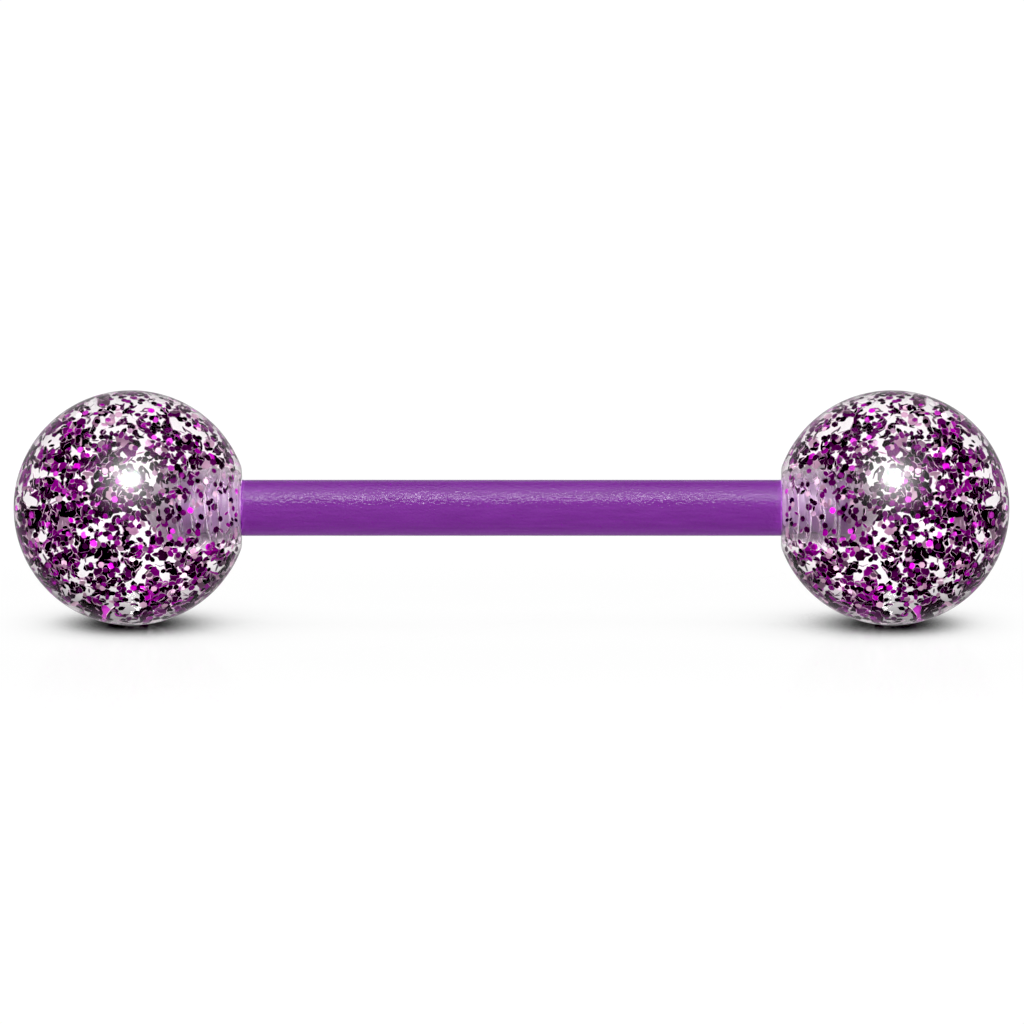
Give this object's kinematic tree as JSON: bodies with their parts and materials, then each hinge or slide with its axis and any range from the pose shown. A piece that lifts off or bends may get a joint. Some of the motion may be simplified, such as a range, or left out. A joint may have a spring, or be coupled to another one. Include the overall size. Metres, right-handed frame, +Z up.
{
  "type": "straight barbell for a piercing",
  "caption": "Thin plastic shaft with a clear glitter-filled ball screwed onto each end, each ball drawn off along its own slide.",
  "frame": {"origin": "middle of the shaft, on its axis", "axes": "+X along the shaft towards the right ball, +Z up when the part lies on its two balls"},
  "size_m": [0.0284, 0.0066, 0.0066],
  "materials": {
    "shaft_plastic": "satin",
    "clear_acrylic": "polished, clear",
    "glitter_film": "metallised film"
  },
  "bodies": {
    "shaft": {"shaft": "shaft_plastic"},
    "left_ball": {"left_ball": "clear_acrylic", "left_glitter": "glitter_film"},
    "right_ball": {"right_ball": "clear_acrylic", "right_glitter": "glitter_film"}
  },
  "joints": [
    {"name": "left_ball_off", "type": "slide", "parent": "shaft", "child": "left_ball", "axis": [-1, 0, 0], "range_m": [0, 0.02]},
    {"name": "right_ball_off", "type": "slide", "parent": "shaft", "child": "right_ball", "axis": [1, 0, 0], "range_m": [0, 0.02]}
  ]
}
